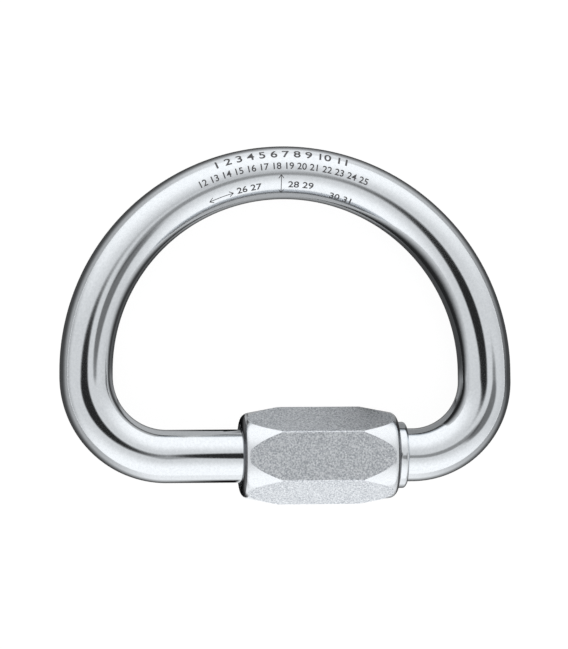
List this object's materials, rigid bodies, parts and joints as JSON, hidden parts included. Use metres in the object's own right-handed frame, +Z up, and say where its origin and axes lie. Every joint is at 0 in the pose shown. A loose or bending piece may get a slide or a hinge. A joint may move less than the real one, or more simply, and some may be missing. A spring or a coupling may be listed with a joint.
{
  "type": "chain quick link",
  "caption": "D-shaped screw link: a round steel bar bent into a D, with a hexagonal sleeve nut on its straight side that screws over both bar ends and closes the gate.",
  "frame": {"origin": "on the sleeve nut's lower flat, below the sleeve's axis, on the middle line of the D", "axes": "+X along the sleeve's axis towards the collar, +Y from the straight side towards the crown, +Z up, away from the surface that the link lies on"},
  "size_m": [0.0856, 0.0677, 0.016],
  "materials": {
    "bar_steel": "bright zinc plate on a smooth drawn bar",
    "sleeve_steel": "zinc plate, tumbled matt on the flats and turned bright on the cones"
  },
  "bodies": {
    "link": {"link_body": "bar_steel"},
    "sleeve": {"sleeve_nut": "sleeve_steel"}
  },
  "joints": [
    {"name": "sleeve_travel", "type": "slide", "parent": "link", "child": "sleeve", "axis": [-1, 0, 0], "range_m": [0, 0.0175]}
  ]
}
